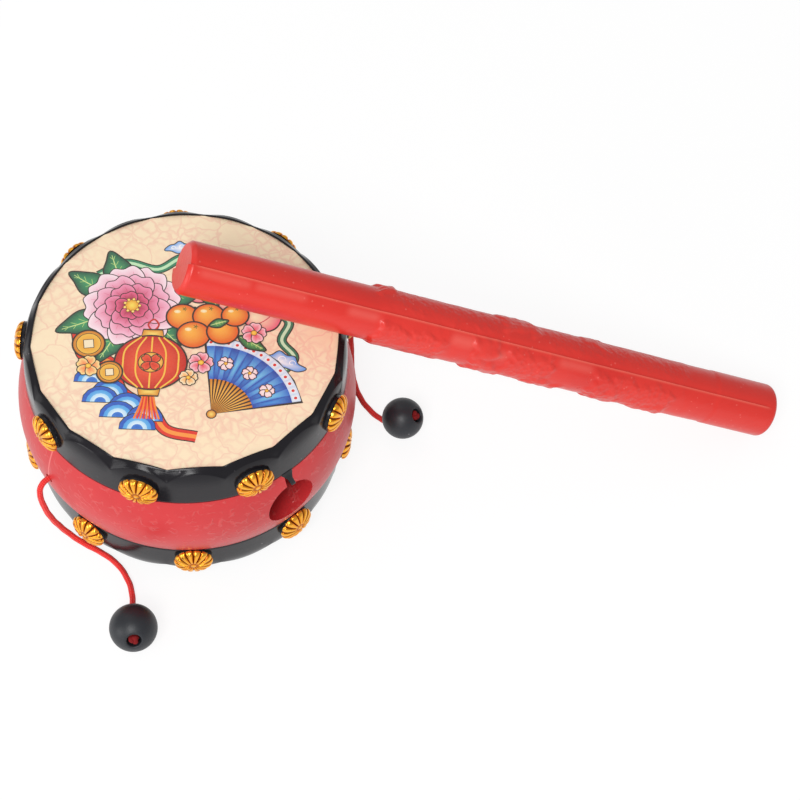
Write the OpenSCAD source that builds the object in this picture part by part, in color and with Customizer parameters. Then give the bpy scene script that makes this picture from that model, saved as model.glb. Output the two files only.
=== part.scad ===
// Pellet drum rattle: a two-piece barrel inside a pair of lobed rims, a printed head at each end,
// rosette studs, a bead on a cord at each side, and a pull-off handle that leans across the drum.
// Millimetres. Origin at the middle of the base, +Z up the drum, -Y out of the handle socket.

/* [Drum] */
// Height over both rims
drum_h = 60; // [54:0.5:68]
// Barrel diameter at its widest
barrel_d = 105.6; // [90:0.2:125]
// How far the barrel swells past the rims
bulge = 3.2; // [2:0.1:4.5]
// Barrel wall at its widest
barrel_wall = 2.4; // [2:0.1:3]
// Wall of the barrel's neck at its end, under the rim
neck_wall = 1.3; // [1:0.1:2]
// Width of the ledge under each head
ledge_w = 3.2; // [2:0.1:6]
// Thickness of that ledge
ledge_t = 1.6; // [1.2:0.1:2.4]
// Thickness of a head
head_t = 0.5; // [0.3:0.1:0.7]

/* [Rims] */
// Height of a rim
rim_h = 15.4; // [13:0.2:17]
// Wall of a rim at its edge
rim_wall = 2; // [1.7:0.1:2.4]
// How far a rim narrows from its edge to its shoulder
rim_taper = 0.5; // [0.2:0.1:0.8]
// Drop from the crest of the lobes to the shoulder
shoulder_drop = 3.4; // [2.6:0.1:4.2]
// How far the bevel comes in from the shoulder
bevel_in = 1.8; // [1.4:0.1:2.2]
// Width of the flat land at the crest
land_w = 0.6; // [0.4:0.1:0.9]
// Rise of a lobe above the cusps
lobe_rise = 1.2; // [0.5:0.1:1.4]
// Length of the flat on a lobe's crest
lobe_flat = 4.4; // [2:0.2:6]
// Drop from the crest of the lobes to a head
head_drop = 1; // [0.8:0.1:1.4]

/* [Studs] */
// Diameter of a stud
stud_d = 12.3; // [10.4:0.1:13.8]
// Height of a stud
stud_h = 1.9; // [1.5:0.1:2.8]
// Depth of a stud's flutes at its edge
flute_depth = 0.45; // [0.3:0.05:0.6]
// Height of a stud's middle above the rim's edge
stud_lift = 5.6; // [5:0.1:6.4]
// Diameter of the round seat under a stud
seat_d = 13; // [10.8:0.1:13.8]
// How far the seat's face stands out of the rim's edge
seat_out = 1.6; // [1:0.1:2]
// Diameter of a stud's peg
peg_d = 2.4; // [2:0.1:3.2]
// Length of a stud's peg
peg_l = 2.2; // [1.6:0.1:2.6]

/* [Handle socket] */
// Wall of the socket tube
socket_wall = 2; // [1.6:0.1:2.6]
// Height of the socket's axis above the drum's middle
socket_rise = 1.5; // [0:0.1:2]
// Depth of the socket past the barrel's middle
socket_past = 6; // [3:0.5:9]
// Width of the rim's tongue above the socket
tongue_w = 1.7; // [1.2:0.1:2.4]

/* [Handle] */
// Length of the handle
handle_l = 207; // [170:1:250]
// Diameter of the plug
plug_d = 16.4; // [13.6:0.1:19]
// Length of the plug
plug_l = 60; // [58:0.5:72]
// Chamfer at the plug's tip
tip_chamfer = 1.2; // [0.8:0.1:3.5]
// Step from the plug up to the grip between the coils of its relief
grip_step = 0.4; // [0.2:0.1:1]
// Height of the coiled relief on the grip
coil_rise = 1.1; // [0.5:0.1:1.6]
// Pitch of the coil
coil_pitch = 43; // [34:1:60]
// Step from the plug up to the butt
butt_step = 0.6; // [0.3:0.1:1.2]
// Length of the plain butt
butt_l = 24; // [16:1:34]
// Radius of the butt's edge
butt_edge_r = 1.6; // [0.8:0.1:2.4]
// Wall of the handle's half shells
handle_wall = 1.9; // [1.5:0.1:2.6]

/* [Pellets] */
// Diameter of the left bead
left_bead_d = 14.8; // [12:0.1:18]
// Diameter of the right bead
right_bead_d = 13.6; // [12:0.1:18]
// Diameter of the cord
cord_d = 2; // [1.6:0.1:2.4]
// Diameter of the knot in a bead's hole
tail_knot_d = 3.8; // [3.2:0.1:4.6]
// Diameter of the stop knot inside the barrel
stop_knot_d = 4.6; // [4:0.1:6]

/* [Hidden] */
$fn = 96;
// Counts and turns, fixed by the moulds
stud_count = 9;
lobe_count = 18;
flute_count = 14;
top_turn = 17;
bottom_turn = 34.5;
// How the handle leans: its slope, the way it points, its turn about its own axis, and how far
// its axis passes from the drum's axis
lean = 23.3;
lean_azimuth = -37.2;
handle_roll = -62;
lean_offset = 4.5;
// Clearances, and the overrun of every cut
fit_gap = 0.2;
rest_gap = 0.3;
lobe_gap = 0.4;
pivot_gap = 0.15;
hole_gap = 0.4;
exit_gap = 0.5;
overrun = 1;
// Height of the cord exits, and how far out of the barrel a cord's pivot is
exit_z = drum_h / 2;
pivot_out = 1.6;
// Rings and facets of the swept and twisted forms
cord_sides = 8;
coil_sides = 32;
coil_steps = 42;
// How far past the plug the coil first faces up, and the length over which it fades
coil_lead = 4.4;
coil_fade = 8;
// Share of the cord's radius at its tapered start, and how far round the grip the ridge spreads
start_share = 0.6;
ridge_share = 0.3;
// Rings of a stud from its edge to its dimple: shares of its radius, its height and its flutes
stud_ring_shares = [[1, 0, 1], [0.95, 0.34, 1], [0.68, 0.8, 0.6], [0.3, 1, 0.1]];
dimple_share = 0.86;

// Radii and heights that follow from the sizes above
barrel_r = barrel_d / 2;
rim_r = barrel_r - bulge;
shoulder_r = rim_r - rim_taper;
mouth_r = shoulder_r - bevel_in - land_w;
foot_r = rim_r - rim_wall;
belt_half = drum_h / 2 - rim_h;
tongue_root = rim_wall;
bulge_r = (belt_half * belt_half + bulge * bulge) / (2 * bulge);
head_r = mouth_r - fit_gap;
neck_r = head_r - neck_wall;
ledge_r = neck_r - ledge_w;
head_seat_z = drum_h - head_drop - head_t;
seat_depth = head_drop + head_t;
lobe_pitch = 360 / lobe_count;
stud_pitch = 360 / stud_count;
lobe_half = mouth_r * sin(lobe_pitch / 2) - lobe_gap / 2;
lobe_reach = ((lobe_half * lobe_half - lobe_flat * lobe_flat / 4) / lobe_rise + lobe_rise) / 2;
lobe_r = sqrt(lobe_reach * lobe_reach + lobe_flat * lobe_flat / 4);
seat_root_r = rim_r - rim_wall / 2;
seat_face_r = rim_r + seat_out;
socket_d = plug_d + 2 * fit_gap;
socket_z = drum_h / 2 + socket_rise;
grip_d = plug_d + 2 * grip_step;
butt_d = plug_d + 2 * butt_step;
grip_l = handle_l - plug_l - butt_l;
cord_r = cord_d / 2;
exit_d = cord_d + 2 * exit_gap;
bead_hole_d = cord_d + 2 * hole_gap;
left_bead_r = left_bead_d / 2;
right_bead_r = right_bead_d / 2;
pivot_x = barrel_r + pivot_out;

// How far below the bead's middle each cord goes into it
left_dip = 3.35;
right_dip = 4.61;
// Routes of the cords from their pivots, ending at the middle of the bead
left_route = [
    [-pivot_x, 0, exit_z], [-54.82, -0.1, 29.6], [-56.29, -0.4, 28.46], [-57.15, -0.9, 26.81],
    [-57.45, -1.7, 24.2], [-57.35, -2.6, 21], [-56.9, -3.6, 17.4], [-56, -4.7, 13.6], [-54.5, -6.2, 9.4],
    [-52.7, -8.4, 5.6], [-50.8, -11.3, 2.8], [-48.8, -14.8, 1.4], [-47.1, -19, cord_r], [-46.2, -24, cord_r],
    [-46.6, -29, cord_r], [-48, -33.5, cord_r], [-50.4, -37.6, 1.7],
    [-53.3, -41.9, left_bead_r - left_dip], [-56.7, -47.2, left_bead_r]
];
right_route = [
    [pivot_x, 0, exit_z], [55, 0, 29.45], [56.72, 0.1, 28.36], [57.9, 0.35, 26.3], [59.9, 0.65, 22],
    [61.9, 0.95, 17.5], [63.9, 1.25, 13], [65.6, 1.5, 9], [66.67, 1.65, 6.45], [67.29, 1.15, 3.93],
    [66.85, -0.45, 1.86], [65.4, -2.7, cord_r], [62.3, -6.8, cord_r], [59.9, -9.8, cord_r],
    [57.6, -13.1, cord_r], [55.4, -17.1, cord_r], [53.8, -21.2, cord_r], [53, -25.5, cord_r],
    [53, -29.2, cord_r], [53.4, -32.3, 1.1],
    [54.28, -35.4, right_bead_r - right_dip], [57, -39.6, right_bead_r]
];

red = [0.82, 0.2, 0.19];
black = [0.13, 0.13, 0.14];
cream = [0.97, 0.89, 0.76];
gold = [0.86, 0.58, 0.18];
cord_red = [0.88, 0.16, 0.15];
bead_black = [0.17, 0.18, 0.2];

// Small vector helpers
function unit(v) = v / norm(v);
function last(list) = list[len(list) - 1];
function hole_dir(route) = unit(last(route) - route[len(route) - 2]);

// Barrel
// The neck under a rim tapers with the rim's own bore, so the rim wedges the two halves together
module neck_section() {
    polygon([
        [0, drum_h - rim_h - overrun], [foot_r - fit_gap, drum_h - rim_h - overrun],
        [foot_r - fit_gap, drum_h - rim_h], [mouth_r - fit_gap, head_seat_z],
        [0, head_seat_z]
    ]);
}

module belt_section() {
    intersection() {
        translate([barrel_r - bulge_r, drum_h / 2]) circle(r = bulge_r);
        translate([0, rim_h]) square([barrel_r + overrun, 2 * belt_half]);
    }
}

module barrel_solid() {
    rotate_extrude() belt_section();
    rotate_extrude() neck_section();
    translate([0, 0, drum_h]) mirror([0, 0, 1]) rotate_extrude() neck_section();
}

module hollow_section() {
    wide_r = barrel_r - barrel_wall;
    polygon([
        [0, seat_depth + ledge_t], [neck_r, seat_depth + ledge_t], [neck_r, rim_h - rim_wall],
        [wide_r, drum_h / 2 - belt_half / 2], [wide_r, drum_h / 2 + belt_half / 2],
        [neck_r, drum_h - rim_h + rim_wall], [neck_r, head_seat_z - ledge_t], [0, head_seat_z - ledge_t]
    ]);
}

module barrel_shell() {
    difference() {
        barrel_solid();
        rotate_extrude() hollow_section();
        translate([0, 0, -overrun]) cylinder(r = ledge_r, h = drum_h + 2 * overrun);
    }
}

// One half of everything, on the -Y side
module front_half_space() {
    translate([-barrel_d, -barrel_d, -overrun]) cube([2 * barrel_d, barrel_d, drum_h + 2 * overrun]);
}

module exit_holes() {
    translate([-barrel_d, 0, exit_z]) rotate([0, 90, 0]) cylinder(d = exit_d, h = 2 * barrel_d);
}

module along_socket(from_y, to_y) {
    translate([0, from_y, socket_z]) rotate([-90, 0, 0]) linear_extrude(to_y - from_y) children();
}

module tongue_slab(clearance) {
    low_z = socket_z + (clearance > 0 ? 0 : socket_d / 2 + rest_gap);
    inner_r = foot_r + rim_taper - clearance;
    translate([-tongue_w / 2 - clearance, -barrel_r - overrun, low_z])
        cube([
            tongue_w + 2 * clearance, barrel_r + overrun - inner_r,
            drum_h - rim_h + tongue_root - low_z
        ]);
}

module barrel_front_half() {
    color(red) difference() {
        union() {
            difference() {
                intersection() {
                    barrel_shell();
                    front_half_space();
                }
                exit_holes();
            }
            intersection() {
                rotate_extrude() belt_section();
                along_socket(-barrel_d, socket_past + socket_wall) circle(d = socket_d + 2 * socket_wall);
            }
        }
        along_socket(-barrel_d, socket_past) circle(d = socket_d);
        tongue_slab(fit_gap);
    }
}

module barrel_back_half() {
    color(red) difference() {
        barrel_shell();
        front_half_space();
        exit_holes();
    }
}

// Rims
module rim_section() {
    polygon([
        [foot_r, 0], [rim_r, 0], [shoulder_r, rim_h - shoulder_drop], [mouth_r + land_w, rim_h],
        [mouth_r, rim_h], [mouth_r, rim_h - seat_depth]
    ]);
}

// A lobe is the top of the rim under an arch that springs from cusp to cusp. What stands between
// two arches is cut away
module lobe_arch() {
    translate([mouth_r - 2 * overrun, 0, rim_h - lobe_reach])
        rotate([0, 90, 0]) cylinder(r = lobe_r, h = rim_r - mouth_r + 4 * overrun);
}

module cusp_cut() {
    difference() {
        rotate_extrude(angle = lobe_pitch) translate([mouth_r - overrun, rim_h - lobe_rise])
            square([rim_r - mouth_r + 2 * overrun, lobe_rise + overrun]);
        lobe_arch();
        rotate(lobe_pitch) lobe_arch();
    }
}

// The seat is cut flat a little above the rim's edge
module stud_seat() {
    intersection() {
        translate([seat_root_r, 0, stud_lift]) rotate([0, 90, 0])
            cylinder(d = seat_d, h = seat_face_r - seat_root_r);
        translate([0, -seat_d, rest_gap]) cube([barrel_d, 2 * seat_d, rim_h]);
    }
}

module peg_hole() {
    translate([foot_r - overrun, 0, stud_lift])
        rotate([0, 90, 0]) cylinder(d = peg_d + fit_gap, h = seat_face_r - foot_r + 2 * overrun);
}

module rim_ring() {
    difference() {
        union() {
            rotate_extrude() rim_section();
            for (k = [0 : stud_count - 1]) rotate(k * stud_pitch) stud_seat();
        }
        for (k = [0 : lobe_count - 1]) rotate(k * lobe_pitch) cusp_cut();
        for (k = [0 : stud_count - 1]) rotate(k * stud_pitch) peg_hole();
    }
}

module on_top() {
    translate([0, 0, drum_h - rim_h]) rotate(top_turn) children();
}

module on_bottom() {
    translate([0, 0, rim_h]) mirror([0, 0, 1]) rotate(bottom_turn) children();
}

module top_rim() {
    color(black) union() {
        on_top() rim_ring();
        intersection() {
            union() {
                rotate_extrude() belt_section();
                translate([0, 0, drum_h - rim_h - tongue_root]) cylinder(r = shoulder_r, h = 2 * tongue_root);
            }
            tongue_slab(0);
        }
    }
}

module bottom_rim() {
    color(black) on_bottom() rim_ring();
}

// Heads
module head() {
    color(cream) cylinder(r = head_r, h = head_t);
}

module top_head() {
    translate([0, 0, head_seat_z]) head();
}

module bottom_head() {
    translate([0, 0, head_drop]) head();
}

// Studs
// A pleated rosette: the rings climb from the scalloped edge to the dimple, ridge and valley by turns
function stud_ring(shares) = [
    for (i = [0 : 2 * flute_count - 1])
        let (angle = 180 * i / flute_count)
        let (cut = (i % 2) * flute_depth * shares[2])
        let (r = shares[0] * stud_d / 2 - cut)
        [r * cos(angle), r * sin(angle), shares[1] * (stud_h - cut)]
];

module rosette() {
    n = 2 * flute_count;
    rings = [for (shares = stud_ring_shares) stud_ring(shares)];
    top = len(rings) - 1;
    points = concat([for (ring = rings) each ring], [[0, 0, 0], [0, 0, dimple_share * stud_h]]);
    base_mid = n * len(rings);
    faces = concat(
        [for (i = [0 : n - 1]) [base_mid, i, (i + 1) % n]],
        [
            for (j = [0 : top - 1], i = [0 : n - 1])
                let (a = j * n + i, b = j * n + (i + 1) % n)
                each [[a, a + n, b], [b, a + n, b + n]]
        ],
        [for (i = [0 : n - 1]) [base_mid + 1, top * n + (i + 1) % n, top * n + i]]
    );
    polyhedron(points, faces);
}

module stud(k) {
    color(gold) rotate(k * stud_pitch) translate([seat_face_r, 0, stud_lift]) rotate([0, 90, 0]) {
        rosette();
        translate([0, 0, -peg_l]) cylinder(d = peg_d, h = peg_l + stud_h / 2);
    }
}

// Handle
// Modelled along +X from the plug's tip, split by its own XY plane. The plug's rod runs on as the
// grip's core, into the butt
module plug_section() {
    core_l = plug_l + grip_l + 2 * butt_edge_r;
    polygon([
        [0, 0], [plug_d / 2 - tip_chamfer, 0], [plug_d / 2, tip_chamfer], [plug_d / 2, core_l], [0, core_l]
    ]);
}

module butt_section() {
    from = handle_l - butt_l;
    translate([0, from]) square([butt_d / 2, butt_l - butt_edge_r]);
    translate([0, from]) square([butt_d / 2 - butt_edge_r, butt_l]);
    intersection() {
        translate([butt_d / 2 - butt_edge_r, handle_l - butt_edge_r]) circle(r = butt_edge_r);
        translate([butt_d / 2 - butt_edge_r, handle_l - butt_edge_r]) square(butt_edge_r);
    }
}

// A low ridge coils round the grip and fades out before the butt
function coil_turn(s) = 90 + 360 * (s - plug_l - coil_lead) / coil_pitch;
function grip_r(s, a) =
    let (ridge = max(0, (cos(a - coil_turn(s)) + ridge_share) / (1 + ridge_share)))
    let (fade = min(1, (plug_l + grip_l - s) / coil_fade))
    grip_d / 2 + coil_rise * ridge * max(0, fade);

// Stations along the grip, from the step at the plug to inside the butt, half a facet off the split
module grip() {
    n = coil_sides;
    stations = concat(
        [for (i = [0 : coil_steps]) plug_l + grip_l * i / coil_steps],
        [plug_l + grip_l + butt_edge_r]
    );
    top = len(stations) - 1;
    points = [
        for (s = stations, k = [0 : n - 1])
            let (a = 360 * (k + 0.5) / n)
            [grip_r(s, a) * cos(a), grip_r(s, a) * sin(a), s]
    ];
    faces = concat(
        [[for (k = [0 : n - 1]) k]],
        [
            for (i = [0 : top - 1], k = [0 : n - 1])
                let (a = i * n + k, b = i * n + (k + 1) % n)
                each [[a, a + n, b], [b, a + n, b + n]]
        ],
        [[for (k = [n - 1 : -1 : 0]) top * n + k]]
    );
    polyhedron(points, faces);
}

module handle_rod() {
    rotate_extrude() plug_section();
    grip();
    rotate_extrude() butt_section();
}

// One half shell, from the split down or up
module handle_shell(low_share) {
    bore_d = plug_d - 2 * handle_wall;
    bore_l = handle_l - tip_chamfer - 2 * handle_wall - butt_edge_r;
    difference() {
        intersection() {
            rotate([90, 0, 90]) handle_rod();
            translate([-overrun, -grip_d, low_share * grip_d])
                cube([handle_l + 2 * overrun, 2 * grip_d, grip_d]);
        }
        translate([tip_chamfer + handle_wall, 0, 0]) rotate([0, 90, 0]) cylinder(d = bore_d, h = bore_l);
    }
}

// The butt's edge stands on the table and the plug lies on the lobes of the top rim
module leaning() {
    rim_reach = sqrt(mouth_r * mouth_r - lean_offset * lean_offset);
    butt_z = (butt_d / 2 - butt_edge_r) * cos(lean) + butt_edge_r;
    rise = (drum_h - butt_z) * cos(lean) + plug_d / 2 + rest_gap;
    reach = rim_reach + rise / sin(lean);
    rotate(lean_azimuth) translate([reach, lean_offset, butt_z])
        rotate([0, lean, 0]) translate([butt_edge_r - handle_l, 0, 0]) rotate([handle_roll, 0, 0]) children();
}

module handle_upper_half() {
    color(red) leaning() handle_shell(0);
}

module handle_lower_half() {
    color(red) leaning() handle_shell(-1);
}

// Pellets
// A tube swept along a route, carried from ring to ring without twist
function tangent(route, i) = unit(route[min(i + 1, len(route) - 1)] - route[max(i - 1, 0)]);
function side_dir(route, i) =
    i == 0 ? unit(cross(tangent(route, 0), [0, 0, 1]))
    : let (before = side_dir(route, i - 1), t = tangent(route, i)) unit(before - t * (before * t));
function cord_ring(route, i) =
    let (t = tangent(route, i), u = side_dir(route, i), v = cross(t, u))
    let (r = i == 0 ? cord_r * start_share : cord_r)
    [for (k = [0 : cord_sides - 1]) let (a = 360 * k / cord_sides) route[i] + r * (cos(a) * u + sin(a) * v)];

module cord(route, bead_r) {
    tail = last(route) + (bead_r - tail_knot_d - pivot_gap) * hole_dir(route);
    path = concat(route, [tail]);
    n = cord_sides;
    points = [for (i = [0 : len(path) - 1]) each cord_ring(path, i)];
    top = len(path) - 1;
    faces = concat(
        [[for (k = [0 : n - 1]) k]],
        [
            for (i = [0 : top - 1], k = [0 : n - 1])
                let (a = i * n + k, b = i * n + (k + 1) % n)
                each [[a, a + n, b], [b, a + n, b + n]]
        ],
        [[for (k = [n - 1 : -1 : 0]) top * n + k]]
    );
    color(cord_red) polyhedron(points, faces);
}

// Stands a piece at the bead's middle with its +Z along the hole, out of the knot's side
module in_bead(route) {
    d = hole_dir(route);
    translate(last(route)) rotate([0, acos(d[2]), atan2(d[1], d[0])]) children();
}

module bead(route, bead_r) {
    recess_d = tail_knot_d + 2 * rest_gap;
    color(bead_black) in_bead(route) difference() {
        sphere(r = bead_r);
        translate([0, 0, -2 * bead_r]) cylinder(d = bead_hole_d, h = 4 * bead_r);
        translate([0, 0, bead_r - tail_knot_d - rest_gap]) cylinder(d = recess_d, h = bead_r);
    }
}

module tail_knot(route, bead_r) {
    color(cord_red) in_bead(route) translate([0, 0, bead_r - tail_knot_d / 2]) sphere(d = tail_knot_d);
}

// The knot lies against the barrel's wall, with the length of cord that fills the exit hole
module stop_knot(side) {
    inner_r = barrel_r - barrel_wall;
    stub_end = pivot_x - cord_r * start_share - pivot_gap;
    knot_x = inner_r - stop_knot_d / 2 - pivot_gap;
    color(cord_red) {
        translate([side * knot_x, 0, exit_z]) sphere(d = stop_knot_d);
        translate([side * knot_x, 0, exit_z]) rotate([0, side * 90, 0])
            cylinder(d = cord_d, h = stub_end - knot_x);
    }
}

barrel_front_half();
barrel_back_half();
top_rim();
bottom_rim();
top_head();
bottom_head();
for (k = [1 : stud_count]) {
    on_top() stud(k);
    on_bottom() stud(k);
}
handle_upper_half();
handle_lower_half();
stop_knot(-1);  // left_stop_knot
cord(left_route, left_bead_r);  // left_cord
bead(left_route, left_bead_r);  // left_bead
tail_knot(left_route, left_bead_r);  // left_tail_knot
stop_knot(1);  // right_stop_knot
cord(right_route, right_bead_r);  // right_cord
bead(right_route, right_bead_r);  // right_bead
tail_knot(right_route, right_bead_r);  // right_tail_knot
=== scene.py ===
import math

import bpy
from mathutils import Matrix, Vector


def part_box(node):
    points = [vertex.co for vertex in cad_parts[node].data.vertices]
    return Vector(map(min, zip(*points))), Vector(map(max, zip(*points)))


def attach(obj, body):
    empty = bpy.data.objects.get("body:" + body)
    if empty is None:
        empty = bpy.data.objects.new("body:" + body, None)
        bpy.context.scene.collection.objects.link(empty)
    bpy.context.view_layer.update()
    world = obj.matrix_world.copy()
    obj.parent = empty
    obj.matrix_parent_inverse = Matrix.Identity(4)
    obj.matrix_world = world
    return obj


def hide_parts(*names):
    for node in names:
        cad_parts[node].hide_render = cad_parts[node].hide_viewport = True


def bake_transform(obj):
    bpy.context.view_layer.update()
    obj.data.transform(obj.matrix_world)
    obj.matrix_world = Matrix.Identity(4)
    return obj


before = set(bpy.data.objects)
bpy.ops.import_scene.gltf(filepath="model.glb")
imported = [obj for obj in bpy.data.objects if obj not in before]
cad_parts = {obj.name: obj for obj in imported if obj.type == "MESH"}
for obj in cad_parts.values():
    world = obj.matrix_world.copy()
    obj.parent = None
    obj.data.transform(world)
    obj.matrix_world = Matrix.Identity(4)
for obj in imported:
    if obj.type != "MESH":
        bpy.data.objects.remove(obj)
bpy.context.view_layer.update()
scene = bpy.context.scene
scene.view_settings.view_transform = "Standard"
mm = 0.001
print("frame loaded,", len(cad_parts), "nodes")


# small helpers for working by hand

def dropSelection():
    if bpy.context.object and bpy.context.object.mode != "OBJECT":
        bpy.ops.object.mode_set(mode="OBJECT")
    bpy.ops.object.select_all(action="DESELECT")


def newShape(name, add, **settings):
    # one of Blender's own shapes, to be worked on
    dropSelection()
    add(**settings)
    piece = bpy.context.object
    piece.name = name
    piece.data.name = name
    return piece


def pickOnly(piece):
    dropSelection()
    piece.select_set(True)
    bpy.context.view_layer.objects.active = piece


def startEdit():
    bpy.ops.object.mode_set(mode="EDIT")
    bpy.ops.mesh.select_all(action="SELECT")


def endEdit():
    bpy.ops.object.mode_set(mode="OBJECT")


def moveBy(x, y, z):
    return Matrix.Translation(Vector((x, y, z)) * mm)


def turnBy(degrees, axis):
    return Matrix.Rotation(math.radians(degrees), 4, axis)


def turnProfile(name, points, steps):
    # a plane merged to one corner, extruded from point to point into a closed line, then spun round Z
    piece = newShape(name, bpy.ops.mesh.primitive_plane_add, size=mm, location=(0, 0, 0))
    startEdit()
    bpy.ops.mesh.merge(type="CENTER")
    here = Vector((0, 0, 0))
    for k, point in enumerate(points + points[:1]):
        step = Vector(point) * mm - here
        if k == 0:
            bpy.ops.transform.translate(value=step)
        else:
            bpy.ops.mesh.extrude_region_move(TRANSFORM_OT_translate={"value": step})
        here = here + step
    bpy.ops.mesh.select_all(action="SELECT")
    bpy.ops.mesh.remove_doubles(threshold=1e-7)
    bpy.ops.mesh.select_all(action="SELECT")
    bpy.ops.mesh.spin(steps=steps, angle=2 * math.pi, center=(0, 0, 0), axis=(0, 0, 1))
    bpy.ops.mesh.select_all(action="SELECT")
    bpy.ops.mesh.remove_doubles(threshold=1e-6)
    bpy.ops.mesh.normals_make_consistent(inside=False)
    endEdit()
    return piece


def keepAbove(height):
    # cuts the active piece off below a height in metres, and closes the cut
    startEdit()
    bpy.ops.mesh.bisect(plane_co=(0, 0, height), plane_no=(0, 0, 1), clear_inner=True, use_fill=True)
    endEdit()


def smoothBy(piece, degrees):
    pickOnly(piece)
    bpy.ops.object.shade_smooth_by_angle(angle=math.radians(degrees))


def applyAll(piece):
    pickOnly(piece)
    for modifier in list(piece.modifiers):
        bpy.ops.object.modifier_apply(modifier=modifier.name)


def roundEdges(piece, width, segments):
    bevel = piece.modifiers.new("edge", "BEVEL")
    bevel.width = width * mm
    bevel.segments = segments
    bevel.limit_method = "ANGLE"
    applyAll(piece)


def copyTo(piece, name, place):
    twin = piece.copy()
    twin.data = piece.data.copy()
    twin.name = name
    twin.data.name = name
    scene.collection.objects.link(twin)
    twin.data.transform(place)
    return twin


def joinInto(piece, others):
    dropSelection()
    for other in others:
        other.select_set(True)
    piece.select_set(True)
    bpy.context.view_layer.objects.active = piece
    bpy.ops.object.join()


def meshPiece(name, corners, faces):
    mesh = bpy.data.meshes.new(name)
    mesh.from_pydata(corners, [], faces)
    piece = bpy.data.objects.new(name, mesh)
    scene.collection.objects.link(piece)
    return piece


def storeValue(piece, name, values):
    layer = piece.data.attributes.new(name, "FLOAT", "POINT")
    layer.data.foreach_set("value", values)


def ease(low, high, value):
    t = min(1, max(0, (value - low) / (high - low)))
    return t * t * (3 - 2 * t)


def within(low, high, soft, value):
    # rises round the low number and falls again round the high one
    return ease(low - soft, low + soft, value) * (1 - ease(high - soft, high + soft, value))


def bell(value, wide):
    return math.exp(-(value / wide) ** 2)


def curveSpot(a, b, c, d, t):
    # a place between b and c on a smooth curve through four points
    return (b * 2 + (c - a) * t + (a * 2 - b * 5 + c * 4 - d) * t * t
            + (b * 3 - a - c * 3 + d) * t * t * t) / 2


def softLine(points, cuts):
    # a smooth open line through a few points
    places = [Vector(p) for p in points]
    places = [places[0] * 2 - places[1]] + places + [places[-1] * 2 - places[-2]]
    line = []
    for spots in zip(places, places[1:], places[2:], places[3:]):
        line += [curveSpot(*spots, k / cuts) for k in range(cuts)]
    return line + [places[-2]]


def tint(red, green, blue):
    # screen colour to the linear colour that a socket takes
    parts = [c / 255 for c in (red, green, blue)]
    return tuple(c / 12.92 if c <= 0.04045 else ((c + 0.055) / 1.055) ** 2.4 for c in parts) + (1,)


# camera
cameraSet = {
    "place": (-0.19427, -0.28479, 0.57105),
    "right": (0.76641, -0.63936, 0.0619),
    "up": (0.51662, 0.67079, 0.53211),
    "lens": 91.08,
}


def addCamera():
    dropSelection()
    bpy.ops.object.camera_add(location=cameraSet["place"])
    camera = bpy.context.object
    right = Vector(cameraSet["right"])
    up = Vector(cameraSet["up"])
    turn = Matrix((right, up, right.cross(up))).transposed()
    camera.rotation_mode = "QUATERNION"
    camera.rotation_quaternion = turn.to_quaternion()
    camera.data.lens = cameraSet["lens"]
    camera.data.sensor_width = 36
    camera.data.clip_start = 0.01
    camera.data.clip_end = 30
    scene.camera = camera


addCamera()
print("camera placed")


# node helpers for materials, which work in the tree that was opened last
nodeWork = {"tree": None}


def plug(socket, value):
    # a socket is linked, a plain value is set
    if isinstance(value, bpy.types.NodeSocket):
        nodeWork["tree"].links.new(value, socket)
    else:
        socket.default_value = value


def newMaterial(name, makeSkin, *settings):
    # makeSkin gives the values of the main shader's sockets, with _ for a space
    material = bpy.data.materials.new(name)
    material.use_nodes = True
    nodeWork["tree"] = material.node_tree
    shader = material.node_tree.nodes["Principled BSDF"]
    for socket, value in makeSkin(*settings).items():
        plug(shader.inputs[socket.replace("_", " ")], value)
    return material


def addNode(kind, settings=None, values=None):
    # gives the outputs of the new node
    node = nodeWork["tree"].nodes.new("ShaderNode" + kind)
    for key, value in (settings or {}).items():
        setattr(node, key, value)
    for key, value in (values or {}).items():
        plug(node.inputs[key], value)
    return node.outputs


def addTexture(kind, settings=None, **values):
    # follows the piece's own coordinates where no other vector is given
    if "Vector" not in values:
        values["Vector"] = addNode("TexCoord")["Object"]
    return addNode("Tex" + kind, settings, values)


def addRamp(value, stops, smooth=False):
    # a stop's colour is a tint or a grey
    out = addNode("ValToRGB", None, {0: value})[0]
    ramp = out.node.color_ramp
    ramp.interpolation = "EASE" if smooth else "LINEAR"
    while len(ramp.elements) < len(stops):
        ramp.elements.new(0.5)
    for element, (place, colour) in zip(ramp.elements, stops):
        element.position = place
        element.color = colour if isinstance(colour, tuple) else (colour, colour, colour, 1)
    return out


def addMix(factor, first, second):
    return addNode("Mix", {"data_type": "RGBA"}, {0: factor, 6: first, 7: second})[2]


def addMath(kind, *numbers):
    return addNode("Math", {"operation": kind}, dict(enumerate(numbers)))[0]


def times(first, second):
    return addMath("MULTIPLY", first, second)


def spreadValue(value, low, high, start=0.0, end=1.0):
    # stretches a value from between start and end to between low and high
    values = {"Value": value, "From Min": start, "From Max": end, "To Min": low, "To Max": high}
    return addNode("MapRange", None, values)[0]


def addBump(height, distance, strength):
    return addNode("Bump", None, {"Height": height, "Distance": distance, "Strength": strength})[0]


def readStored(name, output="Fac"):
    return addNode("Attribute", {"attribute_name": name})[output]


def warpPlace(place, scale, detail, reach):
    # shifts a place by a noise, as far as reach says
    noise = addTexture("Noise", Scale=scale, Detail=detail)
    return addNode("VectorMath", {"operation": "MULTIPLY_ADD"}, {0: noise["Color"], 1: reach, 2: place})[0]


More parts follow.
